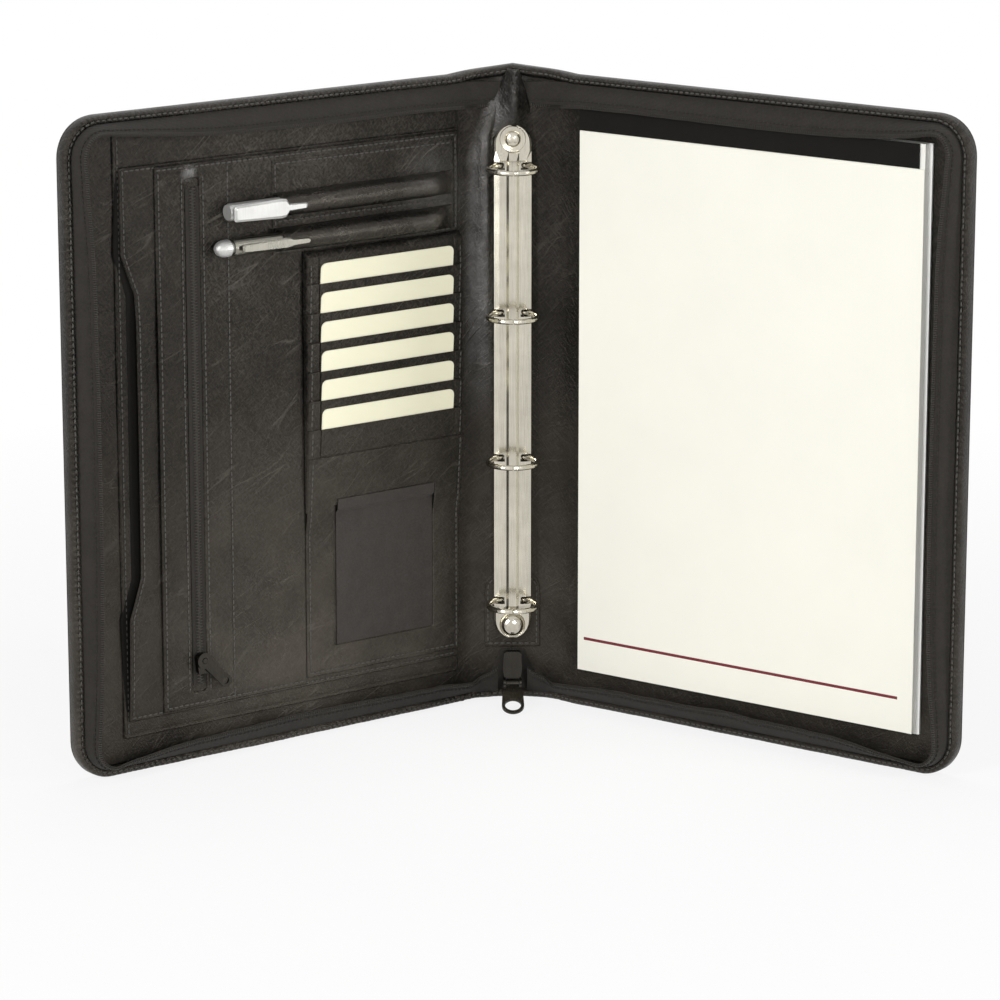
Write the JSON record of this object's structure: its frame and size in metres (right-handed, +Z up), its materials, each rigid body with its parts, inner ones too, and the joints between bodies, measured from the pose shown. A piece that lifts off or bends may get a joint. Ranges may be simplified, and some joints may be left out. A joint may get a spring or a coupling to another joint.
{
  "type": "zip-around ring binder portfolio",
  "caption": "Leather zip-around A4 portfolio standing open, with a ring mechanism on the spine, card and pen pockets on the left cover and a writing pad on the right.",
  "frame": {"origin": "middle of the spine's outer skin at its bottom edge, on the table", "axes": "+Z up, +X to the reader's right, -Y towards the reader, so the covers open towards -Y"},
  "size_m": [0.4618, 0.1547, 0.347],
  "materials": {
    "black_leather": "grained, semi-matt",
    "lining_leather": "fine grained, semi-matt",
    "grey_board": "raw grey board, hidden",
    "zip_tape": "woven",
    "zip_coil": "moulded coil",
    "black_nickel": "black nickel plate",
    "bright_nickel": "bright nickel plate",
    "satin_silver": "satin",
    "cream_card": "blank, matt",
    "cream_paper": "uncoated paper",
    "white_board": "white card",
    "black_binding": "bound strip",
    "window_mesh": "dark fine mesh"
  },
  "bodies": {
    "case": {"spine_leather": "black_leather", "spine_board": "grey_board", "spine_lining": "lining_leather", "ring_patch": "lining_leather", "ring_plate": "bright_nickel", "ring_rivet_top": "bright_nickel", "ring_rivet_bottom": "bright_nickel", "zip_end_top": "lining_leather", "zip_end_bottom": "zip_tape", "main_zip_slider": "black_nickel"},
    "ring_left": {"ring_blade_left": "bright_nickel", "ring_left_1": "bright_nickel", "ring_left_2": "bright_nickel", "ring_left_3": "bright_nickel", "ring_left_4": "bright_nickel"},
    "ring_right": {"ring_blade_right": "bright_nickel", "ring_right_1": "bright_nickel", "ring_right_2": "bright_nickel", "ring_right_3": "bright_nickel", "ring_right_4": "bright_nickel"},
    "main_pull": {"main_zip_pull": "black_nickel"},
    "left_cover": {"left_cover_leather": "black_leather", "left_cover_board": "grey_board", "left_lining": "lining_leather", "left_zip_edge": "black_leather", "left_zip_tape": "zip_tape", "left_zip_coil": "zip_coil", "organiser_backing": "lining_leather", "side_pocket": "lining_leather", "organiser_front": "lining_leather", "pocket_zip_chain": "zip_tape", "card_pocket": "lining_leather", "id_frame": "lining_leather", "id_window": "window_mesh", "pen_loop_upper": "lining_leather", "pen_loop_lower": "lining_leather"},
    "pocket_slider": {"pocket_zip_slider": "black_nickel"},
    "pocket_pull": {"pocket_zip_pull": "black_nickel"},
    "upper_pen": {"upper_pen_barrel": "satin_silver", "upper_pen_clip": "satin_silver"},
    "lower_pen": {"lower_pen_barrel": "satin_silver", "lower_pen_clip": "satin_silver"},
    "pen_button": {"lower_pen_button": "satin_silver"},
    "card_1": {"card_1": "cream_card"},
    "card_2": {"card_2": "cream_card"},
    "card_3": {"card_3": "cream_card"},
    "card_4": {"card_4": "cream_card"},
    "card_5": {"card_5": "cream_card"},
    "card_6": {"card_6": "cream_card"},
    "right_cover": {"right_cover_leather": "black_leather", "right_cover_board": "grey_board", "right_lining": "lining_leather", "right_zip_edge": "black_leather", "right_zip_tape": "zip_tape", "right_zip_coil": "zip_coil", "pad_board": "white_board", "pad_sheets": "cream_paper", "pad_binding": "black_binding"},
    "top_sheet": {"pad_top_sheet": "cream_paper"}
  },
  "joints": [
    {"name": "left_cover_hinge", "type": "hinge", "parent": "case", "child": "left_cover", "pos_m": [-0.0255, 0, 0], "axis": [0, 0, 1], "range_deg": [-36, 54]},
    {"name": "right_cover_hinge", "type": "hinge", "parent": "case", "child": "right_cover", "pos_m": [0.0255, 0, 0], "axis": [0, 0, -1], "range_deg": [-36, 54]},
    {"name": "ring_left_hinge", "type": "hinge", "parent": "case", "child": "ring_left", "pos_m": [-0.0089, -0.006, 0.178], "axis": [0, 0, 1], "range_deg": [-18, 0]},
    {"name": "ring_right_hinge", "type": "hinge", "parent": "case", "child": "ring_right", "pos_m": [0.0089, -0.006, 0.178], "axis": [0, 0, 1], "range_deg": [0, 18]},
    {"name": "main_pull_hinge", "type": "hinge", "parent": "case", "child": "main_pull", "pos_m": [0, -0.0138, 0.012], "axis": [1, 0, 0], "range_deg": [-112, 0]},
    {"name": "pocket_slider_slide", "type": "slide", "parent": "left_cover", "child": "pocket_slider", "axis": [0, 0, -1], "range_m": [-0.198, 0]},
    {"name": "pocket_pull_hinge", "type": "hinge", "parent": "pocket_slider", "child": "pocket_pull", "pos_m": [-0.16299, -0.11275, 0.05433], "axis": [0.5878, -0.809, 0], "range_deg": [-100, 20]},
    {"name": "upper_pen_slide", "type": "slide", "parent": "left_cover", "child": "upper_pen", "axis": [0.809, 0.5878, 0], "range_m": [-0.076, 0]},
    {"name": "lower_pen_slide", "type": "slide", "parent": "left_cover", "child": "lower_pen", "axis": [0.809, 0.5878, 0], "range_m": [-0.068, 0]},
    {"name": "pen_button_slide", "type": "slide", "parent": "lower_pen", "child": "pen_button", "axis": [0.809, 0.5878, 0], "range_m": [0, 0.0015], "stiffness_N_per_m": 600},
    {"name": "card_1_slide", "type": "slide", "parent": "left_cover", "child": "card_1", "axis": [-0.0469, 0.0646, -0.9968], "range_m": [-0.0085, 0]},
    {"name": "card_2_slide", "type": "slide", "parent": "left_cover", "child": "card_2", "axis": [-0.0469, 0.0646, -0.9968], "range_m": [-0.0242, 0]},
    {"name": "card_3_slide", "type": "slide", "parent": "left_cover", "child": "card_3", "axis": [-0.0469, 0.0646, -0.9968], "range_m": [-0.0398, 0]},
    {"name": "card_4_slide", "type": "slide", "parent": "left_cover", "child": "card_4", "axis": [-0.0469, 0.0646, -0.9968], "range_m": [-0.0555, 0]},
    {"name": "card_5_slide", "type": "slide", "parent": "left_cover", "child": "card_5", "axis": [-0.0469, 0.0646, -0.9968], "range_m": [-0.0711, 0]},
    {"name": "card_6_slide", "type": "slide", "parent": "left_cover", "child": "card_6", "axis": [-0.0469, 0.0646, -0.9968], "range_m": [-0.0868, 0]},
    {"name": "top_sheet_hinge", "type": "hinge", "parent": "right_cover", "child": "top_sheet", "pos_m": [0.03511, -0.0191, 0.3186], "axis": [0.809, -0.5878, 0], "range_deg": [-150, 0]}
  ],
  "couplings": [
    {"joint": "ring_right_hinge", "follows": "ring_left_hinge", "ratio": -1}
  ]
}
